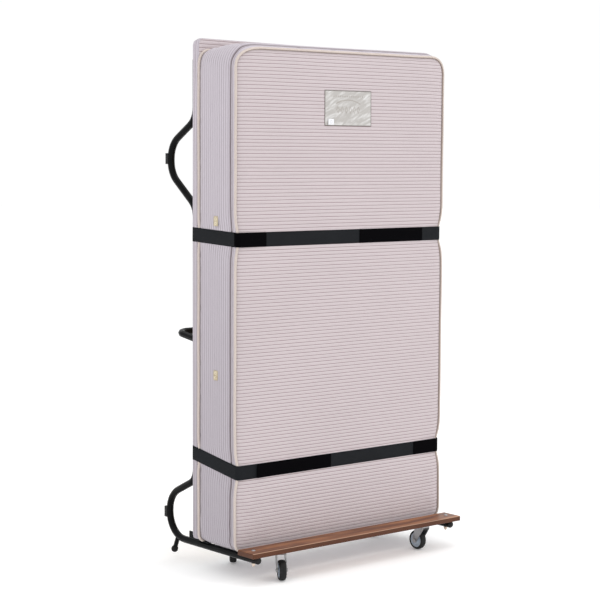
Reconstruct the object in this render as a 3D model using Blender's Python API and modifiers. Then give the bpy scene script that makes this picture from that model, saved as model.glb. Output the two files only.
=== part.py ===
"""Stand-up spare bed, stored upright on its head end: a mattress strapped to an upholstered base on a bent
steel tube frame with a wooden headboard plank and four swivel casters. Metres, +Z up, front faces -Y."""

import math

import bmesh
import bpy
from mathutils import Matrix, Vector

# Mattress and its trim
mattress_width = 1.070
mattress_length = 1.900
mattress_depth = 0.230
mattress_corner = 0.055
mattress_edge = 0.0115
mattress_lift = 0.008
corner_steps = 6
piping_radius = 0.004

# Upholstered base behind the mattress, with a board let into its back
base_side_margin = 0.006
base_gap = 0.005
base_depth = 0.035
base_lift = 0.007
base_rise = 0.042
base_corner = 0.016
board_thickness = 0.0154
board_margin = 0.012

# Tube frame, with the reach of each bend measured back from the mattress's front face
tube_radius = 0.014
frame_inset = 0.025
strap_channel = 0.003
leg_axis_reach = 0.4530
rail_height = 0.094
rail_end_reach = 0.1047
upper_leg_drop = 0.412
lower_leg_height = 0.190
lower_leg_axis_reach = 0.4640
upper_leg_straight = 0.010
upper_leg_flares = (math.radians(59), math.radians(52))
upper_leg_bend = 0.096
upper_return_bend = 0.075
lower_leg_straight = 0.008
lower_leg_flare = math.radians(64)
lower_leg_bend = 0.098
lower_return_bend = 0.067
rail_bend = 0.098
tube_drop = 0.073
crossbar_radius = 0.011
crossbar_drop = 0.035
crossbar_heights = {"upper": 1.190, "lower": 0.640}

# Grip hoop on the back
grip_radius = 0.014
grip_height = 0.902
grip_reach = 0.414
grip_rise = 0.018
grip_bend = 0.045

# Foot pads, pegs, end caps, brackets
pad_width = 0.027
pad_height = 0.043
pad_proud = 0.006
peg_radius = 0.009
peg_lean = math.radians(24)
peg_tip_radius = 0.0135
peg_floor_gap = 0.030
cap_stem = 0.018
bracket_thickness = 0.004
bracket_reach = 0.331
bracket_height = 0.026

# Headboard plank and its bolts
plank_overhang = 0.014
plank_depth = 0.096
plank_reach = 0.125
plank_thickness = 0.020
bolt_radius = 0.004
bolt_head_radius = 0.0085

# Caster beam and casters
beam_depth = 0.060
beam_thickness = 0.003
rear_stem_reach = 0.222
stem_offset = 0.377
trail = 0.028
wheel_radius = 0.040
wheel_width = 0.028
tyre_wall = 0.010
axle_radius = 0.004
fork_gap = 0.0165
fork_wall = 0.0025
fork_crown_drop = 0.0075
kingpin_radius = 0.005
caster_plate = 0.058
caster_headings = {
    "front_left": -120.0,
    "front_right": 90.0,
    "rear_left": 51.0,
    "rear_right": 76.0,
}
wheel_steps = 28

# Straps and labels
strap_width = 0.055
strap_thickness = 0.0015
strap_front_clearance = 0.0008
strap_side_clearance = 0.0008
straps = {"upper": (1.301, 0.013), "lower": (0.4145, 0.047)}
patches = {
    "strap_upper_end": ("upper", -0.525, -0.395),
    "strap_upper_patch": ("upper", 0.077, 0.424),
    "strap_lower_patch": ("lower", -0.394, -0.063),
    "strap_lower_end": ("lower", 0.386, 0.525),
}
label_size = (0.243, 0.138)
label_centre_x = 0.011
label_drop = 0.212
tag_size = (0.030, 0.024)
vent_size = (0.028, 0.040)
vent_heights = {"upper": 1.369, "lower": 0.779}
vent_reach = 0.118
trim_thickness = 0.0012

# Clearance between pieces that touch
touch = 0.0003

for thing in list(bpy.data.objects):
    bpy.data.objects.remove(thing, do_unlink=True)

half_width = mattress_width / 2
leg_reach = {
    "upper": leg_axis_reach + tube_radius + pad_proud,
    "lower": lower_leg_axis_reach + tube_radius + pad_proud,
}
bolt_reach = plank_depth / 2 - plank_reach
turned = math.radians(abs(caster_headings["front_left"]))
front_reach = (trail + wheel_radius) * math.sin(turned) - wheel_width / 3 * math.cos(turned) - bolt_reach
front_y = (front_reach - max(leg_reach.values())) / 2
base_front = mattress_depth + base_gap
base_back = base_front + base_depth
frame_axis = base_back + strap_channel + tube_radius
frame_x = half_width - frame_inset
rail_top = rail_height + tube_radius
caster_top = rail_top
plank_bottom = rail_top + touch
mattress_bottom = rail_top + mattress_lift
mattress_top = mattress_bottom + mattress_length
base_bottom = rail_top + base_lift
base_top = mattress_top + base_rise
tube_top = base_top - tube_drop
crossbar_heights["top"] = tube_top - crossbar_drop
plank_length = mattress_width + 2 * plank_overhang
upper_leg_height = mattress_top - upper_leg_drop
label_centre = (label_centre_x, mattress_top - label_drop)
base_half = half_width + base_side_margin
bend_centre = (lower_leg_axis_reach - rail_bend, rail_height + rail_bend)

cot = bpy.data.collections.new("stand_up_bed")
cutters = bpy.data.collections.new("cutters")
bpy.context.scene.collection.children.link(cot)
bpy.context.scene.collection.children.link(cutters)
cutters.hide_render = True


def material(name, colour, roughness, metallic=0.0):
    made = bpy.data.materials.new(name)
    made.use_nodes = True
    shader = made.node_tree.nodes["Principled BSDF"]
    shader.inputs["Base Color"].default_value = (*colour, 1.0)
    shader.inputs["Roughness"].default_value = roughness
    shader.inputs["Metallic"].default_value = metallic
    return made


looks = {
    "ticking": ((0.62, 0.56, 0.58), 0.9, 0.0),
    "piping": ((0.66, 0.57, 0.47), 0.85, 0.0),
    "webbing": ((0.02, 0.022, 0.026), 0.85, 0.0),
    "satin": ((0.52, 0.49, 0.44), 0.45, 0.0),
    "card": ((0.8, 0.8, 0.78), 0.7, 0.0),
    "plate": ((0.62, 0.52, 0.34), 0.4, 0.0),
    "ply": ((0.55, 0.42, 0.28), 0.7, 0.0),
    "walnut": ((0.24, 0.11, 0.05), 0.45, 0.0),
    "enamel": ((0.015, 0.016, 0.018), 0.25, 0.6),
    "rubber": ((0.02, 0.02, 0.02), 0.8, 0.0),
    "plastic": ((0.025, 0.025, 0.028), 0.5, 0.0),
    "zinc": ((0.62, 0.63, 0.66), 0.3, 1.0),
    "copper": ((0.55, 0.36, 0.26), 0.35, 1.0),
    "hub": ((0.45, 0.55, 0.66), 0.5, 0.0),
    "tyre": ((0.025, 0.025, 0.027), 0.7, 0.0),
}


def finish(thing, look, parent=None, smooth=False):
    colour, roughness, metallic = looks[look]
    thing.data.materials.clear()
    thing.data.materials.append(material(thing.name, colour, roughness, metallic))
    cot.objects.link(thing)
    if parent:
        thing.parent = parent
    if smooth and thing.type == "MESH":
        for face in thing.data.polygons:
            face.use_smooth = True
    return thing


def mesh_object(name, bm):
    bmesh.ops.recalc_face_normals(bm, faces=bm.faces[:])
    data = bpy.data.meshes.new(name)
    bm.to_mesh(data)
    bm.free()
    return bpy.data.objects.new(name, data)


def world(x, reach, z):
    """A point whose depth is measured back from the mattress's front face."""
    return Vector((x, front_y + reach, z))


def box_mesh(low, high):
    bm = bmesh.new()
    bmesh.ops.create_cube(bm, size=1.0)
    for vert in bm.verts:
        for axis in range(3):
            vert.co[axis] = high[axis] if vert.co[axis] > 0 else low[axis]
    return bm


def bevel_edges(bm, chosen, width, segments):
    bmesh.ops.bevel(
        bm,
        geom=[edge for edge in bm.edges if chosen(edge)],
        offset=width,
        offset_type="OFFSET",
        segments=segments,
        affect="EDGES",
        profile=0.5,
        material=-1,
        clamp_overlap=True,
    )


def along(axis):
    return lambda edge: abs((edge.verts[0].co - edge.verts[1].co).normalized()[axis]) > 0.999


def rounded_slab(name, low, high, corner, edge_round, axis=1, segments=corner_steps, edge_steps=3):
    """A slab whose corners seen along the axis are round, and whose two rims are eased."""
    bm = box_mesh(low, high)
    bevel_edges(bm, along(axis), corner, segments)
    if edge_round:
        faces = {face for face in bm.faces if abs(face.normal[axis]) > 0.999}
        rims = [edge for edge in bm.edges if sum(face in faces for face in edge.link_faces) == 1]
        bmesh.ops.bevel(
            bm,
            geom=rims,
            offset=edge_round,
            offset_type="OFFSET",
            segments=edge_steps,
            affect="EDGES",
            profile=0.5,
            material=-1,
        )
    return mesh_object(name, bm)


def box(name, low, high, bevel=0.0, steps=2):
    bm = box_mesh(low, high)
    if bevel:
        bevel_edges(bm, lambda edge: True, bevel, steps)
    return mesh_object(name, bm)


def fillet_path(corners, steps_per_turn=9):
    """Points along straight runs joined by arcs. Each corner is (point, bend radius)."""
    points = [corners[0][0]]
    for (before, _), (here, radius), (after, _) in zip(corners, corners[1:], corners[2:]):
        to_before = (before - here).normalized()
        to_after = (after - here).normalized()
        turn = math.pi - to_before.angle(to_after)
        reach = radius * math.tan(turn / 2)
        start = here + to_before * reach
        centre = here + (to_before + to_after).normalized() * (radius / math.cos(turn / 2))
        normal = to_before.cross(start - centre).normalized()
        steps = max(3, math.ceil(turn / (math.pi / 2) * steps_per_turn))
        for step in range(steps + 1):
            spin = Matrix.Rotation(turn * step / steps, 3, normal)
            points.append(centre + spin @ (start - centre))
    points.append(corners[-1][0])
    return points


def tube_curve(name, points, radius, closed=False, resolution=2):
    curve = bpy.data.curves.new(name, "CURVE")
    curve.dimensions = "3D"
    curve.bevel_depth = radius
    curve.bevel_resolution = resolution
    curve.use_fill_caps = not closed
    spline = curve.splines.new("POLY")
    spline.points.add(len(points) - 1)
    for slot, point in zip(spline.points, points):
        slot.co = (*point, 1.0)
    spline.use_cyclic_u = closed
    spline.use_smooth = True
    return bpy.data.objects.new(name, curve)


def tube_mesh(name, points, radius, closed=False, resolution=2):
    """A tube as a welded mesh, so that it can take a Boolean."""
    curve_object = tube_curve(name + "_path", points, radius, closed, resolution)
    bpy.context.scene.collection.objects.link(curve_object)
    graph = bpy.context.evaluated_depsgraph_get()
    data = bpy.data.meshes.new_from_object(curve_object.evaluated_get(graph))
    bpy.data.objects.remove(curve_object, do_unlink=True)
    bm = bmesh.new()
    bm.from_mesh(data)
    bmesh.ops.remove_doubles(bm, verts=bm.verts[:], dist=0.00001)
    return mesh_object(name, bm)


def cylinder(name, start, end, radius, segments=24):
    bm = bmesh.new()
    length = (end - start).length
    bmesh.ops.create_cone(
        bm, cap_ends=True, segments=segments, radius1=radius, radius2=radius, depth=length
    )
    turn = (end - start).to_track_quat("Z", "Y").to_matrix().to_4x4()
    bmesh.ops.transform(bm, matrix=Matrix.Translation((start + end) / 2) @ turn, verts=bm.verts[:])
    return mesh_object(name, bm)


def lathe(name, profile, steps, location, rotation, closed):
    """A turned piece: the profile runs down its outer side, and is turned about its own Z."""
    bm = bmesh.new()
    verts = [bm.verts.new((radius, 0.0, height)) for radius, height in profile]
    for one, other in zip(verts, verts[1:]):
        bm.edges.new((one, other))
    if closed:
        bm.edges.new((verts[-1], verts[0]))
    data = bpy.data.meshes.new(name)
    bm.to_mesh(data)
    bm.free()
    thing = bpy.data.objects.new(name, data)
    screw = thing.modifiers.new("turn", "SCREW")
    screw.steps = steps
    screw.render_steps = steps
    screw.use_merge_vertices = True
    screw.merge_threshold = 0.00001
    screw.use_smooth_shade = True
    thing.location = location
    thing.rotation_euler = rotation
    return thing


def as_cutter(thing, parent=None):
    cutters.objects.link(thing)
    thing.hide_render = True
    thing.display_type = "WIRE"
    if parent:
        thing.parent = parent
    return thing


def boolean(thing, other, operation="DIFFERENCE"):
    step = thing.modifiers.new(operation.lower() + "_" + other.name, "BOOLEAN")
    step.operation = operation
    step.solver = "EXACT"
    step.object = other


def side_sign(side):
    return -1.0 if side == "left" else 1.0


# Mattress, with cord piping round both rims
mattress = rounded_slab(
    "mattress",
    world(-half_width, 0.0, mattress_bottom),
    world(half_width, mattress_depth, mattress_top),
    mattress_corner,
    mattress_edge,
)
finish(mattress, "ticking", smooth=True)

for rim, reach in (("front", 0.0), ("rear", mattress_depth)):
    ring = []
    for turn, (x_way, z_way) in enumerate(((1, 1), (-1, 1), (-1, -1), (1, -1))):
        middle_x = x_way * (half_width - mattress_corner)
        middle_z = mattress_top - mattress_corner if z_way > 0 else mattress_bottom + mattress_corner
        for step in range(corner_steps + 1):
            angle = math.radians(90 * turn + 90 * step / corner_steps)
            x = middle_x + mattress_corner * math.cos(angle)
            z = middle_z + mattress_corner * math.sin(angle)
            ring.append(world(x, reach, z))
    finish(tube_curve("piping_" + rim, ring, piping_radius, closed=True), "piping")

# Upholstered base: a padded front and side bands, with the board let into the back
base = rounded_slab(
    "base_upholstery",
    world(-base_half, base_front, base_bottom),
    world(base_half, base_back, base_top),
    base_corner,
    0.003,
    segments=4,
    edge_steps=2,
)
pocket_half = base_half - board_margin
pocket = as_cutter(
    box(
        "base_pocket",
        world(-pocket_half, base_back - board_thickness - touch, base_bottom + board_margin),
        world(pocket_half, base_back + 0.01, base_top - board_margin),
    )
)
boolean(base, pocket)
finish(base, "ticking")
board = box(
    "base_board",
    world(-pocket_half + touch, base_back - board_thickness, base_bottom + board_margin + touch),
    world(pocket_half - touch, base_back, base_top - board_margin - touch),
)
finish(board, "ply")

# Side frames: one bent tube each, from the foot end down to the rail under the head end
leg_throw = leg_axis_reach - frame_axis
lower_leg_throw = lower_leg_axis_reach - frame_axis
flare_out, flare_in = upper_leg_flares
upper_out = upper_leg_height + upper_leg_bend * math.tan(flare_out / 2)
upper_in = upper_leg_height - upper_leg_straight - upper_leg_bend * math.tan(flare_in / 2)
lower_in = lower_leg_height + lower_leg_straight + lower_leg_bend * math.tan(lower_leg_flare / 2)
grooves = {}
for side in ("left", "right"):
    x = side_sign(side) * frame_x
    path = fillet_path(
        [
            (world(x, frame_axis, tube_top), 0),
            (world(x, frame_axis, upper_out + leg_throw / math.tan(flare_out)), upper_return_bend),
            (world(x, leg_axis_reach, upper_out), upper_leg_bend),
            (world(x, leg_axis_reach, upper_in), upper_leg_bend),
            (world(x, frame_axis, upper_in - leg_throw / math.tan(flare_in)), upper_return_bend),
            (world(x, frame_axis, lower_in + lower_leg_throw / math.tan(lower_leg_flare)), lower_return_bend),
            (world(x, lower_leg_axis_reach, lower_in), lower_leg_bend),
            (world(x, lower_leg_axis_reach, rail_height), rail_bend),
            (world(x, -rail_end_reach, rail_height), 0),
        ]
    )
    frame = tube_mesh("side_frame_" + side, path, tube_radius, resolution=3)
    groove = tube_mesh("tube_groove_" + side, path, tube_radius + touch, resolution=3)
    grooves[side] = as_cutter(groove)
    cap_bore = as_cutter(
        cylinder(
            "cap_bore_" + side,
            world(x, -rail_end_reach - 0.005, rail_height),
            world(x, -rail_end_reach + cap_stem + touch, rail_height),
            tube_radius - 0.0015,
            16,
        )
    )
    bolt_bore = as_cutter(
        cylinder(
            "bolt_bore_" + side,
            world(x, bolt_reach, rail_height - 0.03),
            world(x, bolt_reach, rail_height + 0.06),
            bolt_radius + touch,
            16,
        )
    )
    boolean(frame, cap_bore)
    boolean(frame, bolt_bore)
    finish(frame, "enamel", smooth=True)

    # End cap: a stem inside the tube and a domed head over its end
    stem = tube_radius - 0.0015 - touch
    cap = lathe(
        "rail_cap_" + side,
        [
            (0.0, 0.0095),
            (0.006, 0.0088),
            (0.0115, 0.0062),
            (tube_radius, 0.0020),
            (tube_radius, touch),
            (stem, touch),
            (stem, -cap_stem + touch),
            (0.0, -cap_stem + touch),
        ],
        20,
        world(x, -rail_end_reach, rail_height),
        (math.pi / 2, 0.0, 0.0),
        False,
    )
    finish(cap, "plastic")

# Saddle cutters: each crossbar, pad and grip end is shaped round the side tubes
saddles = {}
for side in ("left", "right"):
    x = side_sign(side) * frame_x
    saddles[side] = as_cutter(
        cylinder(
            "saddle_" + side,
            world(x, frame_axis, 0.3),
            world(x, frame_axis, 2.1),
            tube_radius + touch,
            32,
        )
    )

for place, height in crossbar_heights.items():
    bar = cylinder(
        "crossbar_" + place,
        world(-frame_x, frame_axis, height),
        world(frame_x, frame_axis, height),
        crossbar_radius,
        20,
    )
    boolean(bar, saddles["left"])
    boolean(bar, saddles["right"])
    finish(bar, "enamel", smooth=True)

# Grip hoop across the back, rising a little towards its bar
grip_start = frame_axis + 0.004
hoop_path = fillet_path(
    [
        (world(-frame_x, grip_start, grip_height), 0),
        (world(-frame_x, grip_reach, grip_height + grip_rise), grip_bend),
        (world(frame_x, grip_reach, grip_height + grip_rise), grip_bend),
        (world(frame_x, grip_start, grip_height), 0),
    ]
)
hoop = tube_mesh("grip_hoop", hoop_path, grip_radius)
boolean(hoop, saddles["left"])
boolean(hoop, saddles["right"])
finish(hoop, "enamel", smooth=True)

# Foot pads on the back of each leg, pegs with rubber tips, and brackets behind the base
for side in ("left", "right"):
    way = side_sign(side)
    x = way * frame_x
    for place, height in (("upper", upper_leg_height), ("lower", lower_leg_height)):
        pad_back = leg_reach[place]
        pad = box(
            "foot_pad_%s_%s" % (place, side),
            world(x - pad_width / 2, pad_back - pad_proud - tube_radius + 0.004, height - pad_height / 2),
            world(x + pad_width / 2, pad_back, height + pad_height / 2),
        )
        boolean(pad, grooves[side])
        finish(pad, "plastic")

    peg_way = Vector((0.0, math.sin(peg_lean), -math.cos(peg_lean)))
    peg_root = world(x, *bend_centre) + peg_way * (rail_bend + tube_radius + touch)
    tip_half = 0.009
    peg_end = (peg_root.z - peg_floor_gap - peg_tip_radius * 0.9) / math.cos(peg_lean)
    peg = cylinder("peg_" + side, peg_root, peg_root + peg_way * (peg_end + 0.006), peg_radius, 16)
    finish(peg, "enamel", smooth=True)
    turn = peg_way.to_track_quat("Z", "Y").to_euler()
    wall = peg_radius + touch
    tip = lathe(
        "peg_tip_" + side,
        [
            (0.0, 0.0125),
            (0.006, 0.0115),
            (0.0105, 0.0080),
            (peg_tip_radius, 0.0020),
            (peg_tip_radius, -0.0060),
            (0.0100, -0.0130),
            (wall, -0.0140),
            (wall, 0.006 + touch),
            (0.0, 0.006 + touch),
        ],
        20,
        peg_root + peg_way * peg_end,
        turn,
        False,
    )
    finish(tip, "rubber")

    # Angle bracket: a web along the rail and a flange up the back of the base
    inner = x - bracket_thickness / 2
    outer = x + bracket_thickness / 2
    back = base_back + touch
    flange_x = sorted((x - way * 0.036, x + way * bracket_thickness / 2))
    bracket = box(
        "base_bracket_" + side,
        world(inner, back, rail_top + touch),
        world(outer, bracket_reach, rail_top + touch + bracket_height),
    )
    flange = as_cutter(
        box(
            "bracket_flange_" + side,
            world(flange_x[0], back, rail_top + touch),
            world(flange_x[1], back + 0.003, rail_top + touch + 0.060),
        )
    )
    boolean(bracket, flange, "UNION")
    finish(bracket, "enamel")

# Headboard plank, bolted down through the rails
plank = box(
    "headboard_plank",
    world(-plank_length / 2, -plank_reach, plank_bottom),
    world(plank_length / 2, -plank_reach + plank_depth, plank_bottom + plank_thickness),
    0.0025,
    2,
)
for side in ("left", "right"):
    boolean(plank, bpy.data.objects["bolt_bore_" + side])
finish(plank, "walnut")
for side in ("left", "right"):
    x = side_sign(side) * frame_x
    top = plank_bottom + plank_thickness + touch
    nut_top = rail_height - tube_radius - touch
    nut_bore = (bolt_radius + touch) / math.cos(math.pi / 6)
    bolt = lathe(
        "plank_bolt_" + side,
        [
            (0.0, 0.0042),
            (0.0045, 0.0036),
            (0.0075, 0.0018),
            (bolt_head_radius, 0.0),
            (bolt_radius, 0.0),
            (bolt_radius, nut_top - top - 0.006),
            (0.0, nut_top - top - 0.006),
        ],
        20,
        world(x, bolt_reach, top),
        (0.0, 0.0, 0.0),
        False,
    )
    finish(bolt, "zinc")
    nut = lathe(
        "plank_nut_" + side,
        [
            (nut_bore, 0.0),
            (0.0075, 0.0),
            (0.0075, -0.0060),
            (0.0052, -0.0080),
            (0.0040, -0.0115),
            (0.0, -0.0135),
            (0.0, -0.0070),
            (nut_bore, -0.0070),
        ],
        6,
        world(x, bolt_reach, nut_top),
        (0.0, 0.0, 0.0),
        True,
    )
    finish(nut, "copper")

# Caster beam across the rails under the mattress's head end
beam = box(
    "caster_beam",
    world(-frame_x - 0.012, rear_stem_reach - beam_depth / 2, rail_top + touch),
    world(frame_x + 0.012, rear_stem_reach + beam_depth / 2, rail_top + touch + beam_thickness),
)
finish(beam, "enamel")

# Casters: plate and kingpin stay, the fork and axle swivel, the hub and tyre spin
fork_top = caster_top - fork_crown_drop
for place, heading in caster_headings.items():
    end, side = place.split("_")
    reach = bolt_reach if end == "front" else rear_stem_reach
    stem_point = world(side_sign(side) * stem_offset, reach, 0.0)

    plate = rounded_slab(
        "caster_plate_" + place,
        Vector((-caster_plate / 2, -caster_plate / 2, caster_top - 0.003)),
        Vector((caster_plate / 2, caster_plate / 2, caster_top)),
        0.006,
        0.0,
        axis=2,
        segments=2,
    )
    plate.location = stem_point
    race = as_cutter(
        lathe(
            "caster_race_" + place,
            [
                (0.0, caster_top - 0.001),
                (0.020, caster_top - 0.001),
                (0.020, fork_top + touch),
                (kingpin_radius, fork_top + touch),
                (kingpin_radius, fork_top - 0.003 - touch),
                (0.008, fork_top - 0.003 - touch),
                (0.007, fork_top - 0.006),
                (0.0, fork_top - 0.006),
            ],
            24,
            stem_point,
            (0.0, 0.0, 0.0),
            False,
        )
    )
    boolean(plate, race, "UNION")
    finish(plate, "zinc")

    swivel = bpy.data.objects.new("swivel_axis_" + place, None)
    swivel.location = stem_point
    swivel.rotation_euler = (0.0, 0.0, math.radians(heading))
    cot.objects.link(swivel)

    # Fork outline in the wheel's plane: a wide crown narrowing to a round end at the axle
    outline = [(-0.021, fork_top), (-0.021, fork_top - 0.010)]
    for step in range(9):
        angle = math.radians(205 + step * 22)
        outline.append((trail + 0.012 * math.cos(angle), wheel_radius + 0.012 * math.sin(angle)))
    outline.append((0.030, fork_top - 0.022))
    outline.append((0.022, fork_top))
    bm = bmesh.new()
    half = fork_gap + fork_wall
    near = [bm.verts.new((u, -half, z)) for u, z in outline]
    face = bm.faces.new(near)
    grown = bmesh.ops.extrude_face_region(bm, geom=[face])
    far = [item for item in grown["geom"] if isinstance(item, bmesh.types.BMVert)]
    bmesh.ops.translate(bm, verts=far, vec=(0.0, 2 * half, 0.0))
    fork = mesh_object("caster_fork_" + place, bm)
    between = as_cutter(
        box(
            "fork_gap_" + place,
            Vector((-0.06, -fork_gap, -0.01)),
            Vector((0.12, fork_gap, fork_top - 0.003)),
        ),
        swivel,
    )
    king_hole = as_cutter(
        cylinder(
            "king_hole_" + place,
            Vector((0.0, 0.0, fork_top - 0.02)),
            Vector((0.0, 0.0, fork_top + 0.02)),
            kingpin_radius + touch,
            24,
        ),
        swivel,
    )
    axle_hole = as_cutter(
        cylinder(
            "axle_hole_" + place,
            Vector((trail, -0.04, wheel_radius)),
            Vector((trail, 0.04, wheel_radius)),
            axle_radius + touch,
            20,
        ),
        swivel,
    )
    boolean(fork, between)
    boolean(fork, king_hole)
    boolean(fork, axle_hole)
    finish(fork, "zinc", swivel)

    centre = (trail, 0.0, wheel_radius)
    across = (-math.pi / 2, 0.0, 0.0)
    head_in = half + touch
    axle = lathe(
        "caster_axle_" + place,
        [
            (0.0, head_in + 0.004),
            (0.006, head_in + 0.004),
            (0.007, head_in + 0.003),
            (0.007, head_in),
            (axle_radius, head_in),
            (axle_radius, -head_in),
            (0.007, -head_in),
            (0.007, -head_in - 0.003),
            (0.006, -head_in - 0.004),
            (0.0, -head_in - 0.004),
        ],
        16,
        centre,
        across,
        False,
    )
    finish(axle, "zinc", swivel)

    rim = wheel_radius - tyre_wall - touch
    bore = axle_radius + touch
    hub = lathe(
        "caster_hub_" + place,
        [
            (bore, 0.0135),
            (0.0100, 0.0135),
            (0.0120, 0.0070),
            (rim - 0.0090, 0.0045),
            (rim - 0.0035, 0.0110),
            (rim, 0.0110),
            (rim, -0.0110),
            (rim - 0.0035, -0.0110),
            (rim - 0.0090, -0.0045),
            (0.0120, -0.0070),
            (0.0100, -0.0135),
            (bore, -0.0135),
        ],
        wheel_steps,
        centre,
        across,
        True,
    )
    finish(hub, "hub", swivel)

    edge = wheel_width / 2
    tyre = lathe(
        "caster_tyre_" + place,
        [
            (rim + touch, edge - 0.0015),
            (rim + touch + 0.0040, edge),
            (wheel_radius - 0.0030, edge - 0.0020),
            (wheel_radius - 0.0008, edge - 0.0060),
            (wheel_radius, 0.0),
            (wheel_radius - 0.0008, 0.0060 - edge),
            (wheel_radius - 0.0030, 0.0020 - edge),
            (rim + touch + 0.0040, -edge),
            (rim + touch, 0.0015 - edge),
        ],
        wheel_steps,
        centre,
        across,
        True,
    )
    finish(tyre, "tyre", swivel)

# Straps: webbing loops round mattress and base, higher at the back than at the front
strap_x = base_half + strap_side_clearance
strap_front = -(piping_radius + strap_front_clearance)
strap_back = base_back + strap_side_clearance


def strap_ring(outset):
    """Rounded rectangle in plan, as (x, reach) points, at an outset from the strap's inner face."""
    points = []
    for turn, (x_way, back) in enumerate(((1, True), (-1, True), (-1, False), (1, False))):
        radius = (0.004 if back else 0.008) + outset
        middle_x = x_way * (strap_x + outset - radius)
        middle_y = strap_back + outset - radius if back else strap_front - outset + radius
        for step in range(5):
            angle = math.radians(90 * turn + 90 * step / 4)
            points.append((middle_x + radius * math.cos(angle), middle_y + radius * math.sin(angle)))
    return points


for place, (height, rise) in straps.items():
    bm = bmesh.new()
    rings = []
    for outset, offset in (
        (0.0, -strap_width / 2),
        (strap_thickness, -strap_width / 2),
        (strap_thickness, strap_width / 2),
        (0.0, strap_width / 2),
    ):
        ring = []
        for x, reach in strap_ring(outset):
            lift = rise * min(1.0, max(0.0, reach / base_back))
            ring.append(bm.verts.new(world(x, reach, height + offset + lift)))
        rings.append(ring)
    count = len(rings[0])
    for lower, upper in zip(rings, rings[1:] + rings[:1]):
        for index in range(count):
            after = (index + 1) % count
            bm.faces.new((lower[index], lower[after], upper[after], upper[index]))
    finish(mesh_object("strap_" + place, bm), "webbing")

patch_back = strap_front - strap_thickness - touch
for name, (place, low_x, high_x) in patches.items():
    height = straps[place][0]
    patch = box(
        name,
        world(low_x, patch_back - strap_thickness, height - strap_width / 2),
        world(high_x, patch_back, height + strap_width / 2),
    )
    finish(patch, "webbing")

# Label on the front, a small tag over its lower corner, and two vent plates on the left side
label_x, label_z = label_centre
label = box(
    "label",
    world(label_x - label_size[0] / 2, -touch - trim_thickness, label_z - label_size[1] / 2),
    world(label_x + label_size[0] / 2, -touch, label_z + label_size[1] / 2),
)
finish(label, "satin")
tag_x = label_x - label_size[0] / 2 + 0.016
tag_z = label_z - label_size[1] / 2 + 0.003
tag_back = -2 * touch - trim_thickness
tag = box(
    "label_tag",
    world(tag_x, tag_back - 0.0008, tag_z),
    world(tag_x + tag_size[0], tag_back, tag_z + tag_size[1]),
)
finish(tag, "card")
for place, height in vent_heights.items():
    vent = box(
        "vent_plate_" + place,
        world(-half_width - touch - trim_thickness, vent_reach - vent_size[0] / 2, height - vent_size[1] / 2),
        world(-half_width - touch, vent_reach + vent_size[0] / 2, height + vent_size[1] / 2),
    )
    finish(vent, "plate")
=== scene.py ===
import math

import bmesh
import bpy
from mathutils import Matrix, Vector, noise
from mathutils.bvhtree import BVHTree


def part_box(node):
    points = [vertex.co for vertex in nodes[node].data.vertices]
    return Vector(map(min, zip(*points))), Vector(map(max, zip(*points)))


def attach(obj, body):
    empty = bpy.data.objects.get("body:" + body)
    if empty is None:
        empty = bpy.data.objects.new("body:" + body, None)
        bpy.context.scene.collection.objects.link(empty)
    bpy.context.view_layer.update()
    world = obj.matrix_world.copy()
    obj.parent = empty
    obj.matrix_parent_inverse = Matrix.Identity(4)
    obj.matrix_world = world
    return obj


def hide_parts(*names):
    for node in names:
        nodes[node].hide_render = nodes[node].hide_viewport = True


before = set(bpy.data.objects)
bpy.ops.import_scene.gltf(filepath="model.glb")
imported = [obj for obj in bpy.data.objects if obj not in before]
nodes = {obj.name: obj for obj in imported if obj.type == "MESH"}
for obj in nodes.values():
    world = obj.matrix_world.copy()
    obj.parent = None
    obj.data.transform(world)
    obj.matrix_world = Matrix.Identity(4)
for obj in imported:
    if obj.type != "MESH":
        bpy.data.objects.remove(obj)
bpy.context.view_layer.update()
print("frame loaded,", len(nodes), "nodes")

# where the bedding stands, from the frame
mattressLow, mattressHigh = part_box("mattress")
baseLow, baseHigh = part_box("base_upholstery")
boardLow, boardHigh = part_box("base_board")
plankLow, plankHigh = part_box("headboard_plank")
frontY = mattressLow.y
rearY = mattressHigh.y
halfWidth = mattressHigh.x
middleZ = (mattressLow.z + mattressHigh.z) / 2
tuckReach = 0.0305  # from the front panel to the fold that the band has behind its piping


class Wire:  # one socket, with arithmetic
    def __init__(self, paint, socket):
        self.paint = paint
        self.socket = socket

    def __add__(self, other):
        return self.paint.sums("ADD", self, other)

    __radd__ = __add__

    def __sub__(self, other):
        return self.paint.sums("SUBTRACT", self, other)

    def __rsub__(self, other):
        return self.paint.sums("SUBTRACT", other, self)

    def __mul__(self, other):
        return self.paint.sums("MULTIPLY", self, other)

    __rmul__ = __mul__

    def __truediv__(self, other):
        return self.paint.sums("DIVIDE", self, other)

    def __pow__(self, other):
        return self.paint.sums("POWER", self, other)

    def __mod__(self, other):
        return self.paint.sums("FLOORED_MODULO", self, other)

    def __abs__(self):
        return self.paint.sums("ABSOLUTE", self)


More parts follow.
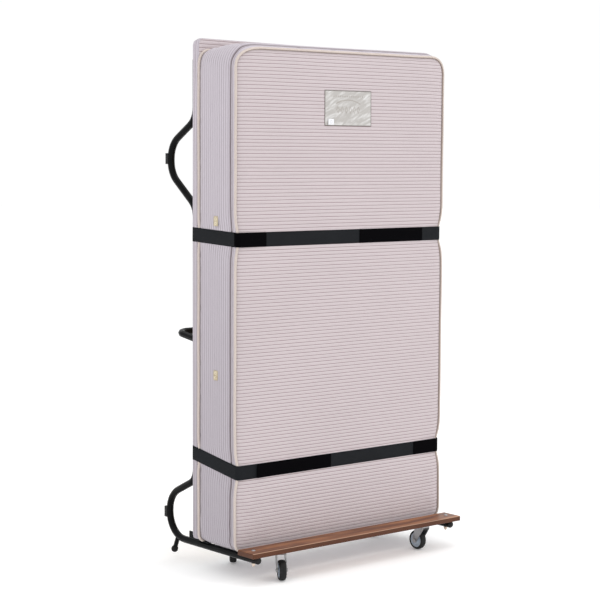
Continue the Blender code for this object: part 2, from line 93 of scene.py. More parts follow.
class Paint:  # one material and the few nodes it is made from
    def __init__(self, name):
        self.material = bpy.data.materials.new(name)
        self.material.use_nodes = True
        self.tree = self.material.node_tree
        self.shader = self.tree.nodes["Principled BSDF"]

    def node(self, kind, settings=None, sockets=None, out=0):
        made = self.tree.nodes.new(kind)
        for key, value in (settings or {}).items():
            if key == "stops":
                ramp = made.color_ramp
                while len(ramp.elements) < len(value):
                    ramp.elements.new(0.5)
                for element, (place, colour) in zip(ramp.elements, value):
                    element.position = place
                    element.color = (*colour, 1)
            else:
                setattr(made, key, value)
        for key, value in (sockets or {}).items():
            self.feed(made.inputs[key], value)
        return Wire(self, made.outputs[out])

    def feed(self, socket, value):
        if isinstance(value, Wire):
            self.tree.links.new(value.socket, socket)
        elif socket.type == "RGBA" and len(value) == 3:
            socket.default_value = (*value, 1)
        else:
            socket.default_value = value

    def sums(self, operation, *values):
        return self.node("ShaderNodeMath", {"operation": operation}, dict(enumerate(values)))

    def ease(self, value, low, high):
        sockets = {"Value": value, "From Min": low, "From Max": high}
        return self.node("ShaderNodeMapRange", {"interpolation_type": "SMOOTHSTEP"}, sockets)

    def within(self, value, reach):
        return 1 - self.ease(abs(value), reach, reach + 0.004)

    def blend(self, factor, first, second, way="MIX"):
        settings = {"data_type": "RGBA", "blend_type": way}
        return self.node("ShaderNodeMix", settings, {0: factor, 6: first, 7: second}, out=2)

    def place(self):
        return self.node("ShaderNodeTexCoord", out="Object")

    def cloth(self):
        return self.node("ShaderNodeUVMap", {"uv_map": "cloth"})

    def parts(self, vector):
        split = self.node("ShaderNodeSeparateXYZ", sockets={0: vector})
        return [Wire(self, socket) for socket in split.socket.node.outputs]

    def join(self, x=0.0, y=0.0, z=0.0):
        return self.node("ShaderNodeCombineXYZ", sockets={0: x, 1: y, 2: z})

    def stretch(self, vector, scale):
        return self.node("ShaderNodeMapping", sockets={"Vector": vector, "Scale": scale})

    def cloud(self, vector, scale, detail=2.0, roughness=0.5, twist=0.0):
        sockets = {"Vector": vector, "Scale": scale, "Detail": detail}
        sockets.update({"Roughness": roughness, "Distortion": twist})
        return self.node("ShaderNodeTexNoise", sockets=sockets)

    def bump(self, height, distance, strength=1.0, under=None):
        sockets = {"Height": height, "Distance": distance, "Strength": strength}
        if under is not None:
            sockets["Normal"] = under
        return self.node("ShaderNodeBump", sockets=sockets)

    def surface(self, **values):
        for key, value in values.items():
            self.feed(self.shader.inputs[key.replace("_", " ")], value)
        return self.material


tickingLook = {
    "pitch": 0.0135,
    "panelLight": (0.620, 0.555, 0.570),
    "panelMiddle": (0.530, 0.455, 0.470),
    "panelLine": (0.255, 0.180, 0.190),
    "bandLight": (0.590, 0.550, 0.600),
    "bandMiddle": (0.480, 0.430, 0.478),
    "bandLine": (0.235, 0.185, 0.215),
    "lineWidth": 0.15,
    "ribHeight": 0.0011,
    "threadPitch": 0.0011,
    "tuckShade": (0.185, 0.145, 0.150),
    # painted shade: how much darker the band gets towards the bottom
    "bandPaintedShade": 0.22,
}


def ticking(part, ribs, tucked):
    paint = Paint(part + "Ticking")
    light, middle, line = [tickingLook[part + tone] for tone in ("Light", "Middle", "Line")]
    lineWidth = tickingLook["lineWidth"]
    flat = paint.cloth()
    along, across, _ = paint.parts(flat)
    drift = paint.cloud(paint.stretch(flat, (3, 30, 1)), 1.0, 2.0)
    repeat = (across / tickingLook["pitch"] + drift * 0.22) % 1
    fromLine = abs(repeat - 0.5)
    dark = 1 - paint.ease(fromLine, lineWidth * 0.35, lineWidth)
    faint = paint.ease(abs(fromLine - 0.36), 0.02, 0.10)
    shade = paint.blend(faint, middle, light)
    shade = paint.blend(paint.ease(repeat, 0.30, 0.92) * 0.35, shade, middle)
    slub = paint.cloud(paint.stretch(flat, (60, 900, 1)), 1.0, 2.0)
    shade = paint.blend(dark * (0.72 + slub * 0.35), shade, line)
    if tucked:
        # the fold behind the front piping lies in its own shade
        fromTuck = abs(across - frontY - tuckReach + (drift - 0.5) * 0.002)
        inTuck = 1 - paint.ease(fromTuck, 0.0016, 0.0078)
        shade = paint.blend(inTuck * 0.78, shade, tickingLook["tuckShade"])
    thread = tickingLook["threadPitch"]
    warp = paint.sums("SINE", along * (2 * math.pi / thread))
    weft = paint.sums("SINE", (across + along * 0.5) * (2 * math.pi / thread))
    weave = warp * weft
    soil = paint.cloud(paint.place(), 2.3, 4.0, 0.6)
    tone = (soil - 0.5) * 0.10 + (slub - 0.5) * 0.09 + weave * 0.035 + 1.0
    # painted shade: the band is darker towards the bottom
    if tucked:
        _, _, height = paint.parts(paint.place())
        tone = tone - (1 - paint.ease(height, -0.3, 1.9)) * tickingLook["bandPaintedShade"]
    shade = paint.blend(1.0, shade, paint.join(tone, tone, tone), "MULTIPLY")
    rib = paint.sums("SINE", repeat * math.pi) * -1 * ribs + faint * 0.25 * ribs
    bump = paint.bump(rib, tickingLook["ribHeight"], 0.9)
    bump = paint.bump(weave * 0.5 + slub, 0.00022, 0.6, bump)
    rough = 0.78 + dark * 0.1 + (slub - 0.5) * 0.1
    return paint.surface(
        Base_Color=shade,
        Roughness=rough,
        Normal=bump,
        Sheen_Weight=0.18,
        Sheen_Roughness=0.45,
        Specular_IOR_Level=0.25,
    )


panelTicking = ticking("panel", 1.0, False)
bandTicking = ticking("band", 0.9, True)

pipingLook = {
    "colour": (0.740, 0.655, 0.605),
    "shadow": (0.560, 0.470, 0.420),
    # seam: painted shade in the crease where the cord meets the panel
    "seam": (0.230, 0.160, 0.125),
    "twill": 0.0022,
    "radius": 0.0054,
    "sides": 12,
    "outset": 0.0048,
}


def pipingCloth():
    paint = Paint("pipingCloth")
    flat = paint.cloth()
    along, around, _ = paint.parts(flat)
    turn = 2 * math.pi / pipingLook["twill"]
    twill = paint.sums("SINE", (along + around * 0.8) * turn)
    wear = paint.cloud(paint.place(), 9.0, 3.0)
    shade = paint.blend(paint.ease(twill, -1, 0.6), pipingLook["shadow"], pipingLook["colour"])
    shade = paint.blend(wear * 0.35, shade, pipingLook["colour"])
    # painted shade: browner where the cord meets the front panel
    inward = paint.sums("COSINE", around / pipingLook["radius"] + 0.45)
    shade = paint.blend(paint.ease(inward, 0.60, 0.97) * 0.65, shade, pipingLook["seam"])
    bump = paint.bump(twill, 0.00035, 0.8)
    return paint.surface(Base_Color=shade, Roughness=0.7, Normal=bump, Specular_IOR_Level=0.25)


webbingLook = {
    "width": 0.055,
    "weave": (0.0050, 0.0058, 0.0072),
    "ridge": (0.0145, 0.0160, 0.0190),
    "hook": (0.0012, 0.0010, 0.0016),
    "fuzz": (0.0040, 0.0038, 0.0046),
    "rib": 0.0024,
    "pick": 0.0016,
}


def webbing(name, dark, light, pile):
    paint = Paint(name)
    along, across, _ = paint.parts(paint.cloth())
    rib = paint.sums("SINE", across * (2 * math.pi / webbingLook["rib"]))
    pick = paint.sums("SINE", (along + abs(rib) * 0.0006) * (2 * math.pi / webbingLook["pick"]))
    edge = paint.ease(abs(across), webbingLook["width"] * 0.455, webbingLook["width"] * 0.475)
    fuzz = paint.cloud(paint.place(), 900.0, 2.0)
    dust = paint.cloud(paint.place(), 14.0, 4.0, 0.6)
    lift = (pick * 0.5 + 0.5) * 0.5 + edge * 0.4 + dust * 0.5
    shade = paint.blend(lift * (1 - pile) + fuzz * 0.25 * pile, dark, light)
    height = (pick * 0.4 + rib * 0.3 + edge * 0.8) * (1 - pile) + fuzz * (0.4 + pile * 1.6)
    return paint.surface(
        Base_Color=shade,
        Roughness=0.55 + fuzz * 0.2 + pile * 0.2,
        Normal=paint.bump(height, 0.00035, 0.7),
        Specular_IOR_Level=0.10 - pile * 0.07,
    )


webbingBlack = webbing("webbingBlack", webbingLook["weave"], webbingLook["ridge"], 0.0)
hookBlack = webbing("hookBlack", webbingLook["hook"], webbingLook["fuzz"], 1.0)
pipingBeige = pipingCloth()

labelLook = {
    "size": (0.243, 0.138),
    "tagSize": (0.030, 0.024),
    "satin": (0.43, 0.41, 0.39),
    "glint": (0.66, 0.65, 0.64),
    "border": (0.17, 0.15, 0.13),
    "woven": (0.27, 0.23, 0.20),
    "borderWidth": 0.0034,
    "fold": 0.0016,
}


def satin():
    paint = Paint("satinLabel")
    flat = paint.cloth()
    along, across, _ = paint.parts(flat)
    width, height = labelLook["size"]
    nearSide = width / 2 - abs(along)
    nearEdge = paint.sums("MINIMUM", nearSide, height / 2 - abs(across))
    stitch = paint.sums("SINE", (along + across) * (2 * math.pi / 0.0030))
    wide = labelLook["borderWidth"]
    border = 1 - paint.ease(nearEdge + stitch * 0.0006, wide * 0.7, wide)
    # a plain woven ornament: a row of small lozenges, then taller ones under an arc
    small = abs((along / 0.0115) % 1 - 0.5) + abs((across - 0.046) / 0.012)
    row = (1 - paint.ease(small, 0.28, 0.40)) * paint.within(along, 0.084)
    tall = abs((along / 0.021) % 1 - 0.5) + abs((across + 0.006) / 0.040)
    rank = (1 - paint.ease(abs(tall - 0.32), 0.05, 0.11)) * paint.within(along, 0.060)
    bow = (along * along + (across + 0.110) * (across + 0.110)) ** 0.5
    arc = (1 - paint.ease(abs(bow - 0.142), 0.0012, 0.0026)) * paint.within(along, 0.062)
    drawn = paint.sums("MAXIMUM", row, paint.sums("MAXIMUM", rank, arc)) * 0.62
    slant = paint.join(along + across * 0.8, across - along * 0.5, 0.0)
    streak = paint.cloud(paint.stretch(slant, (12, 62, 1)), 1.0, 4.0, 0.6, 0.6)
    thread = paint.sums("SINE", across * (2 * math.pi / 0.0008))
    # painted sheen: the streaks along the folds are lighter
    shade = paint.blend(paint.ease(streak, 0.42, 0.72), labelLook["satin"], labelLook["glint"])
    shade = paint.blend(drawn, shade, labelLook["woven"])
    shade = paint.blend(border, shade, labelLook["border"])
    height = streak * 0.6 + thread * 0.05 + drawn * 0.15 + border * (0.4 + stitch * 0.4)
    return paint.surface(
        Base_Color=shade,
        Roughness=0.30 + border * 0.35,
        Normal=paint.bump(height, 0.0011, 0.8),
        Specular_IOR_Level=0.6,
        Sheen_Weight=0.2,
    )


def paper():
    paint = Paint("tagPaper")
    along, across, _ = paint.parts(paint.cloth())
    width, height = labelLook["tagSize"]
    toEdge = paint.sums("MAXIMUM", abs(along) / (width / 2), abs(across) / (height / 2))
    frameLine = paint.ease(toEdge, 0.86, 0.93)
    dot = (along * along + across * across) ** 0.5
    ring = 1 - paint.ease(abs(dot - 0.0052), 0.0006, 0.0014)
    fibre = paint.cloud(paint.place(), 420.0, 3.0)
    shade = paint.blend(ring * 0.5, (0.80, 0.80, 0.82), (0.35, 0.36, 0.45))
    shade = paint.blend(frameLine * 0.25, shade, (0.55, 0.55, 0.56))
    return paint.surface(Base_Color=shade, Roughness=0.6, Normal=paint.bump(fibre, 0.0001, 0.5))


satinLabel = satin()
tagPaper = paper()

plankLook = {
    "light": (0.375, 0.152, 0.062),
    "dark": (0.130, 0.042, 0.014),
    # edge: painted shade on the faces that do not face up
    "edge": (0.070, 0.018, 0.004),
    # painted highlight along the front edge of the top
    "paler": (0.640, 0.420, 0.290),
}


def walnut():
    paint = Paint("plankWalnut")
    spot = paint.place()
    _, y, z = paint.parts(spot)
    wave = paint.cloud(paint.stretch(spot, (1.6, 9, 9)), 1.0, 3.0, 0.5, 0.4)
    rings = paint.sums("SINE", y * 150 + z * 150 + wave * 30)
    pores = paint.cloud(paint.stretch(spot, (16, 620, 620)), 1.0, 3.0, 0.6)
    broad = paint.cloud(paint.stretch(spot, (3, 34, 34)), 1.0, 4.0, 0.55)
    grain = broad * 0.75 + rings * 0.07 + pores * 0.30
    shade = paint.blend(paint.ease(grain, 0.35, 0.75), plankLook["dark"], plankLook["light"])
    # painted shade: the faces that do not face up are darker
    _, _, up = paint.parts(paint.node("ShaderNodeNewGeometry", out="Normal"))
    shade = paint.blend((1 - paint.ease(abs(up), 0.35, 0.75)) * 0.92, shade, plankLook["edge"])
    # painted highlight along the front edge of the top
    top = plankHigh.z - z
    arris = (1 - paint.ease(top, 0.0006, 0.0022)) * paint.ease(plankLow.y + 0.0035 - y, 0.0, 0.003)
    shade = paint.blend(arris * 0.85, shade, plankLook["paler"])
    bump = paint.bump(pores, 0.00012, 0.5)
    return paint.surface(
        Base_Color=shade,
        Roughness=0.34 + pores * 0.16,
        Normal=bump,
        Specular_IOR_Level=0.25,
        Coat_Weight=0.08,
        Coat_Roughness=0.18,
    )


def enamel():
    paint = Paint("tubeEnamel")
    spot = paint.place()
    peel = paint.cloud(spot, 260.0, 2.0)
    dust = paint.cloud(spot, 11.0, 5.0, 0.65)
    clean, dusty = (0.0030, 0.0031, 0.0034), (0.0100, 0.0105, 0.0110)
    shade = paint.blend(paint.ease(dust, 0.45, 0.85), clean, dusty)
    return paint.surface(
        Base_Color=shade,
        Roughness=0.22 + dust * 0.14,
        Normal=paint.bump(peel, 0.00012, 0.35),
        Specular_IOR_Level=0.08,
    )


def moulded(name, colour, paler, rough, grainSize, grainDepth):
    paint = Paint(name)
    spot = paint.place()
    grain = paint.cloud(spot, grainSize, 3.0)
    scuff = paint.cloud(spot, 35.0, 5.0, 0.65)
    shade = paint.blend(paint.ease(scuff, 0.45, 0.8), colour, paler)
    return paint.surface(
        Base_Color=shade,
        Roughness=rough + scuff * 0.15,
        Normal=paint.bump(grain, grainDepth, 0.5),
        Specular_IOR_Level=0.25,
    )


def metal(name, colour, tarnish, rough, scratch):
    paint = Paint(name)
    spot = paint.place()
    brushed = paint.cloud(paint.stretch(spot, (900, 900, 40)), 1.0, 2.0)
    stain = paint.cloud(spot, 60.0, 5.0, 0.65)
    shade = paint.blend(paint.ease(stain, 0.42, 0.78), colour, tarnish)
    return paint.surface(
        Base_Color=shade,
        Metallic=1.0,
        Roughness=rough + stain * 0.15 + brushed * 0.06,
        Normal=paint.bump(brushed, scratch, 0.5),
    )


def plywood():
    paint = Paint("boardPlywood")
    spot = paint.place()
    _, y, _ = paint.parts(spot)
    figure = paint.cloud(paint.stretch(spot, (22, 22, 1.4)), 1.0, 4.0, 0.6, 1.0)
    pores = paint.cloud(paint.stretch(spot, (700, 700, 14)), 1.0, 2.0)
    layer = paint.sums("SINE", y * (2 * math.pi / 0.0051))
    shade = paint.blend(figure, (0.58, 0.43, 0.27), (0.36, 0.235, 0.13))
    shade = paint.blend(pores * 0.3, shade, (0.28, 0.18, 0.10))
    _, out, _ = paint.parts(paint.node("ShaderNodeNewGeometry", out="Normal"))
    glue = (1 - abs(out)) * paint.ease(layer, -0.2, 0.2)
    shade = paint.blend(glue * 0.5, shade, (0.22, 0.13, 0.07))
    return paint.surface(Base_Color=shade, Roughness=0.62, Normal=paint.bump(pores, 0.0002, 0.5))


finishes = {
    "enamel": enamel(),
    "plank": walnut(),
    "plywood": plywood(),
}

# colour, worn colour, roughness, size and depth of the grain
mouldedLook = {
    "blackPlastic": ((0.006, 0.006, 0.0065), (0.016, 0.016, 0.017), 0.42, 520.0, 0.00012),
    "tipRubber": ((0.006, 0.006, 0.006), (0.018, 0.0175, 0.017), 0.62, 700.0, 0.0002),
    "tyreRubber": ((0.007, 0.0075, 0.008), (0.024, 0.024, 0.025), 0.48, 500.0, 0.00015),
    "hubPlastic": ((0.42, 0.49, 0.57), (0.52, 0.58, 0.64), 0.36, 300.0, 0.0001),
}

# colour, tarnish, roughness and depth of the scratches
metalLook = {
    "zincSteel": ((0.42, 0.42, 0.43), (0.17, 0.165, 0.16), 0.24, 0.00006),
    "eyeletBrass": ((0.86, 0.80, 0.66), (0.66, 0.58, 0.44), 0.28, 0.00005),
    "copperNut": ((0.70, 0.59, 0.50), (0.46, 0.35, 0.28), 0.24, 0.00006),
    "ventBrass": ((0.60, 0.52, 0.37), (0.42, 0.34, 0.22), 0.34, 0.00006),
}

for name, values in mouldedLook.items():
    finishes[name] = moulded(name, *values)
for name, values in metalLook.items():
    finishes[name] = metal(name, *values)

# the first start that fits a node's name decides its finish
finishStarts = {
    "base_board": "plywood",
    "headboard_plank": "plank",
    "foot_pad": "blackPlastic",
    "rail_cap": "blackPlastic",
    "peg_tip": "tipRubber",
    "caster_tyre": "tyreRubber",
    "caster_hub": "hubPlastic",
    "caster_beam": "enamel",
    "caster_": "zincSteel",
    "plank_nut": "copperNut",
    "plank_bolt": "zincSteel",
    "vent_plate": "ventBrass",
}


def finishFor(name):
    for start, finish in finishStarts.items():
        if name.startswith(start):
            return finish
    return "enamel"


for name, piece in nodes.items():
    piece.data.materials.clear()
    piece.data.materials.append(finishes[finishFor(name)])
print("finishes ready")


def addPiece(name, bm, materials, stands=()):
    mesh = bpy.data.meshes.new(name)
    bm.to_mesh(mesh)
    bm.free()
    for material in materials:
        mesh.materials.append(material)
    mesh.shade_smooth()
    piece = bpy.data.objects.new(name, mesh)
    bpy.context.scene.collection.objects.link(piece)
    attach(piece, "frame")
    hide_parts(*stands)
    return piece


def applyOnly(piece, modifier):
    shaped = piece.evaluated_get(bpy.context.evaluated_depsgraph_get())
    applied = bpy.data.meshes.new_from_object(shaped)
    piece.modifiers.remove(modifier)
    piece.data = applied


def bell(distance, spread):
    return math.exp(-((distance / spread) ** 2))


def between(low, high, share):
    return low + (high - low) * min(1.0, max(0.0, share))


strapLook = {
    "upper": {"height": 1.301, "rise": 0.013},
    "lower": {"height": 0.4145, "rise": 0.047},
    "width": 0.055,
    "thickness": 0.0015,
    "frontGap": 0.0048,
    "cornerRadius": 0.018,
    "squeeze": 0.0095,
    "pinchSpread": 0.045,
}


def strapShare(reach):
    full = baseHigh.y - frontY + strapLook["frontGap"]
    return min(1.0, max(0.0, (reach + strapLook["frontGap"]) / full))


def strapHeight(place, reach):
    strap = strapLook[place]
    return strap["height"] + strap["rise"] * strapShare(reach)


def strapEnds():
    # middle line of a strap: how far out it stands at the front and at the back
    half = strapLook["thickness"] / 2
    return halfWidth + 0.0050 - strapLook["squeeze"] * 0.75 + half, baseHigh.x + 0.0008 + half


def strapSide(reach):
    return between(*strapEnds(), strapShare(reach))


def strapNearness(reach, z, spread):
    near = 0.0
    for place in ("upper", "lower"):
        off = max(0.0, abs(z - strapHeight(place, reach)) - strapLook["width"] * 0.46)
        near = max(near, bell(off, spread))
    return near


mattressLook = {
    "corners": {
        "topLeft": (0.115, 0.058),
        "topRight": (0.057, 0.057),
        "bottomLeft": (0.024, 0.024),
        "bottomRight": (0.030, 0.030),
    },
    "rearCorners": {
        "topLeft": (0.044, 0.050),
        "topRight": (0.057, 0.057),
        "bottomLeft": (0.024, 0.024),
        "bottomRight": (0.030, 0.030),
    },
    "cell": 0.015,
    "rows": (
        0.006, 0.012, 0.018, 0.023, 0.027, 0.0305, 0.034, 0.038, 0.044, 0.055,
        0.071, 0.090, 0.110, 0.130, 0.150, 0.170, 0.190, 0.207, 0.220,
    ),
    "pressure": 4.0,
    "spareCloth": -0.020,
    "panelCap": 0.0095,
    "bandCap": 0.0030,
    "sideCrown": 0.0050,
    "topCrown": 0.0240,
    "bottomCrown": 0.0076,
    "tuckDepth": 0.0075,
    "tuckWidth": 0.0044,
    "unevenness": 0.0024,
    "pucker": 0.0023,
}


def cornerAt(x, z, corners):
    return corners[("top" if z > 0 else "bottom") + ("Right" if x > 0 else "Left")]


def roundCorner(x, z, halfX, halfZ, corners):
    wide, tall = cornerAt(x, z, corners)
    overX = (abs(x) - (halfX - wide)) / wide
    overZ = (abs(z) - (halfZ - tall)) / tall
    if overX <= 0 or overZ <= 0:
        return x, z
    share = max(overX, overZ) / math.hypot(overX, overZ)
    newX = math.copysign(halfX - wide + overX * share * wide, x)
    newZ = math.copysign(halfZ - tall + overZ * share * tall, z)
    return newX, newZ


def coverBody(low, high, corners, rearCorners, cell, rows):
    # front panel, rear panel and the band that joins them, as one closed cover
    size = high - low
    centre = (low + high) / 2
    halfX, halfZ = size.x / 2, size.z / 2
    columns, lines = round(size.x / cell), round(size.z / cell)
    bm = bmesh.new()
    bmesh.ops.create_grid(bm, x_segments=columns, y_segments=lines, size=0.5)
    bmesh.ops.scale(bm, verts=bm.verts, vec=(size.x, size.z, 1))
    squareX = bm.verts.layers.float.new("squareX")
    squareZ = bm.verts.layers.float.new("squareZ")
    for vertex in bm.verts:
        vertex[squareX], vertex[squareZ] = vertex.co.x, vertex.co.y
        vertex.co.x, vertex.co.y = roundCorner(vertex.co.x, vertex.co.y, halfX, halfZ, corners)
    bmesh.ops.rotate(bm, verts=bm.verts, matrix=Matrix.Rotation(math.pi / 2, 3, "X"))
    bmesh.ops.translate(bm, verts=bm.verts, vec=(centre.x, low.y, centre.z))
    rim = [edge for edge in bm.edges if edge.is_boundary]
    lengths = rimLengths(rim)
    copied = bmesh.ops.duplicate(bm, geom=bm.verts[:] + bm.edges[:] + bm.faces[:])["geom"]
    behind = [item for item in copied if isinstance(item, bmesh.types.BMVert)]
    bmesh.ops.translate(bm, verts=behind, vec=(0, size.y, 0))
    turned = [item for item in copied if isinstance(item, bmesh.types.BMFace)]
    bmesh.ops.reverse_faces(bm, faces=turned)
    ends = [edge for edge in bm.edges if edge.is_boundary]
    bridged = bmesh.ops.bridge_loops(bm, edges=ends)
    for face in bridged["faces"]:
        face.material_index = 1
    cross = [edge for edge in bridged["edges"] if edge.calc_length() > size.y / 2]
    bmesh.ops.subdivide_edges(bm, edges=cross, cuts=len(rows), use_grid_fill=True)
    for vertex in bm.verts:
        row = round((vertex.co.y - low.y) / size.y * (len(rows) + 1))
        if 0 < row <= len(rows):
            vertex.co.y = low.y + rows[row - 1]
    bmesh.ops.recalc_face_normals(bm, faces=bm.faces[:])
    layOutCloth(bm, lengths, centre)
    for vertex in bm.verts:
        share = (vertex.co.y - low.y) / size.y
        x, z = roundCorner(vertex[squareX], vertex[squareZ], halfX, halfZ, rearCorners)
        vertex.co.x += (centre.x + x - vertex.co.x) * share
        vertex.co.z += (centre.z + z - vertex.co.z) * share
    return bm


def spotOf(vertex):
    return round(vertex.co.x, 5), round(vertex.co.z, 5)


def rimLengths(rim):
    # how far round the rim each of its points lies, by its place in the panel
    links = {}
    for edge in rim:
        for vertex in edge.verts:
            links.setdefault(vertex, []).append(edge)
    start = min(links, key=lambda vertex: (round(vertex.co.z, 4), round(vertex.co.x, 4)))
    lengths = {spotOf(start): 0.0}
    here, edge, total = start, links[start][0], 0.0
    while True:
        there = edge.other_vert(here)
        total += edge.calc_length()
        if there is start:
            break
        lengths[spotOf(there)] = total
        edge = links[there][0] if links[there][1] is edge else links[there][1]
        here = there
    lengths["total"] = total
    return lengths


def layOutCloth(bm, lengths, centre):
    # lengthways in u and across the stripes in v, in metres
    flat = bm.loops.layers.uv.new("cloth")
    for face in bm.faces:
        if face.material_index != 1:
            for loop in face.loops:
                loop[flat].uv = (loop.vert.co.x, loop.vert.co.z - centre.z)
            continue
        found = [lengths[spotOf(loop.vert)] for loop in face.loops]
        wraps = max(found) - min(found) > lengths["total"] / 2
        for loop, length in zip(face.loops, found):
            if wraps and length < lengths["total"] / 2:
                length += lengths["total"]
            loop[flat].uv = (length, loop.vert.co.y)


def puffed(piece, look):
    # cloth under a little air pressure, held along both rims and at the back
    fill = piece.modifiers.new("fill", "CLOTH")
    fill.settings.quality = 5
    fill.settings.mass = 0.3
    fill.settings.tension_stiffness = 12
    fill.settings.compression_stiffness = 12
    fill.settings.shear_stiffness = 4
    fill.settings.bending_stiffness = 0.4
    fill.settings.use_pressure = True
    fill.settings.uniform_pressure_force = look["pressure"]
    fill.settings.shrink_min = look["spareCloth"]
    fill.settings.vertex_group_mass = "seam"
    fill.settings.effector_weights.gravity = 0
    fill.collision_settings.use_collision = False
    fill.point_cache.frame_start = 1
    fill.point_cache.frame_end = 20
    for step in range(1, 21):
        bpy.context.scene.frame_set(step)
    shaped = piece.evaluated_get(bpy.context.evaluated_depsgraph_get())
    places = [vertex.co.copy() for vertex in shaped.data.vertices]
    piece.modifiers.remove(fill)
    bpy.context.scene.frame_set(1)
    return places


def bandOutset(vertex, facing, look):
    # outward swell of the band: a narrow roll, a tuck, then one broad crown
    reach = vertex.y - frontY
    depth = rearY - frontY
    crown = (
        look["sideCrown"] * facing.x**2
        + look["topCrown"] * max(0.0, facing.z) ** 2
        + look["bottomCrown"] * max(0.0, -facing.z) ** 2
    )
    roll = 0.0035 * math.sin(math.pi * min(1.0, reach / tuckReach))
    if reach < tuckReach:
        swell = roll + crown * 0.55 * math.sin(math.pi * reach / tuckReach / 2)
    else:
        share = (reach - tuckReach) / (depth - tuckReach)
        arch = math.sin(math.pi * min(1.0, 0.22 + share * 1.1))
        swell = crown * (0.72 + 0.28 * arch - 0.35 * share**2)
        swell *= min(1.0, (depth - reach) / 0.030) ** 0.6 if reach < depth else 0.0
    tuck = look["tuckDepth"] * (0.35 if facing.z < -0.5 else 1.0)
    return swell - tuck * bell(reach - tuckReach, look["tuckWidth"])


def makeMattress(look):
    corners, rearCorners = look["corners"], look["rearCorners"]
    bm = coverBody(mattressLow, mattressHigh, corners, rearCorners, look["cell"], look["rows"])
    piece = addPiece("mattress_cover", bm, [panelTicking, bandTicking], ["mattress"])
    mesh = piece.data
    rest = [vertex.co.copy() for vertex in mesh.vertices]
    kinds = [set() for _ in rest]
    for polygon in mesh.polygons:
        for index in polygon.vertices:
            kinds[index].add(polygon.material_index)
    seam = piece.vertex_groups.new(name="seam")
    held = [i for i, place in enumerate(rest) if len(kinds[i]) == 2 or place.y > rearY - 1e-4]
    seam.add(held, 1.0, "REPLACE")
    moved = puffed(piece, look)
    piece.vertex_groups.clear()
    facings = [vertex.normal.copy() for vertex in mesh.vertices]
    for index, vertex in enumerate(mesh.vertices):
        place = rest[index]
        pull = moved[index] - place
        onBand = kinds[index] == {1}
        cap = look["bandCap"] if onBand else look["panelCap"]
        if pull.length > 1e-6:
            pull *= math.tanh(pull.length / cap) * cap / pull.length
        vertex.co = place + pull + shaping(place, facings[index], kinds[index], pull, look)
    # the rims, in order, for the piping
    mesh.update()
    rims = {}
    for side, y in (("front", frontY), ("rear", rearY)):
        found = [i for i, kind in enumerate(kinds) if len(kind) == 2 and abs(rest[i].y - y) < 1e-4]
        found.sort(key=lambda i: rimOrder(rest[i]))
        rims[side] = [(rest[i].copy(), mesh.vertices[i].co.copy()) for i in found]
    smooth = piece.modifiers.new("smooth", "SUBSURF")
    smooth.levels = smooth.render_levels = 1
    smooth.boundary_smooth = "PRESERVE_CORNERS"
    applyOnly(piece, smooth)
    return piece, rims


def rimOrder(place):
    # runs once round the rim, by angle with the outline squared up
    x = place.x / halfWidth
    z = (place.z - middleZ) / (mattressHigh.z - middleZ)
    return math.atan2(z, x)


def shaping(place, facing, kind, pull, look):
    reach = place.y - frontY
    side = halfWidth - abs(place.x)
    ends = min(mattressHigh.z - place.z, place.z - mattressLow.z)
    pinch = strapNearness(reach, place.z, strapLook["pinchSpread"])
    shift = Vector((0, 0, 0))
    spread = bell(min(side, 0.2), 0.075)
    if reach < 0.16:
        draw = strapLook["squeeze"] * pinch * spread * between(1.0, 0.0, reach / 0.16)
        shift.x -= math.copysign(draw, place.x)
        shift.y += draw * 0.35 * bell(reach, 0.06)
    wave = noise.noise(Vector((place.x * 3.1, place.y * 3.1 + 4.0, place.z * 3.1)))
    fine = noise.noise(Vector((place.x * 21.0, place.y * 14.0 + 9.0, place.z * 21.0)))
    if kind == {1}:
        out = bandOutset(place, facing, look) + look["unevenness"] * 0.5 * wave
        gather = noise.noise(Vector((place.x * 3.0, place.y * 9.0, place.z * 34.0)))
        low = bell(max(0.0, place.z - mattressLow.z - 0.05), 0.10)
        out += look["pucker"] * gather * (1.1 * pinch + 1.5 * low + 0.35)
        held = pull.dot(facing) + out
        room = strapSide(reach) - halfWidth - strapLook["thickness"] / 2 - 0.0010
        room += strapLook["squeeze"] * spread * between(1.0, 0.0, reach / 0.16)
        gap = strapNearness(reach, place.z, 0.024)
        if abs(facing.x) > 0.5 and held > room:
            out -= (held - room) * gap
        return shift + Vector((facing.x, 0, facing.z)) * out
    if len(kind) == 2:
        sway = 0.0028 * noise.noise(Vector((place.x * 5.0, 3.0 + reach * 9, place.z * 5.0)))
        return shift + Vector((sway * facing.x, 0, sway * facing.z))
    if place.y > frontY + 0.1:
        return shift
    rimDistance = min(side, ends)
    near = bell(rimDistance, 0.070)
    run = place.z if side < ends else place.x
    gather = noise.noise(Vector((run * 30.0, rimDistance * 8.0, 2.0)))
    corner = bell(math.hypot(side, place.z - mattressLow.z), 0.17)
    out = look["unevenness"] * wave * between(0.2, 1.0, rimDistance / 0.1)
    slant = Vector((place.x * 26.0 + place.z * 17.0, place.z * 9.0 - place.x * 6.0, 6.0))
    crease = noise.noise(slant)
    tugged = bell(math.hypot(place.x + halfWidth - 0.10, place.z - 0.33), 0.15)
    folds = 0.6 * gather * near + 0.16 * fine + 1.3 * corner * gather + 1.1 * tugged * crease
    out += look["pucker"] * folds
    held = -pull.y + out
    bend = strapLook["cornerRadius"]
    inCorner = max(0.0, bend - (strapSide(0.0) - abs(place.x)))
    room = strapLook["frontGap"] - 0.0010 - (bend - math.sqrt(max(0.0, bend**2 - inCorner**2)))
    gap = strapNearness(reach, place.z, 0.030)
    if held > room:
        out -= (held - room) * gap
    return shift + Vector((0, -out, 0))


mattress, rims = makeMattress(mattressLook)
mattressSkin = BVHTree.FromObject(mattress, bpy.context.evaluated_depsgraph_get())
print("mattress made")


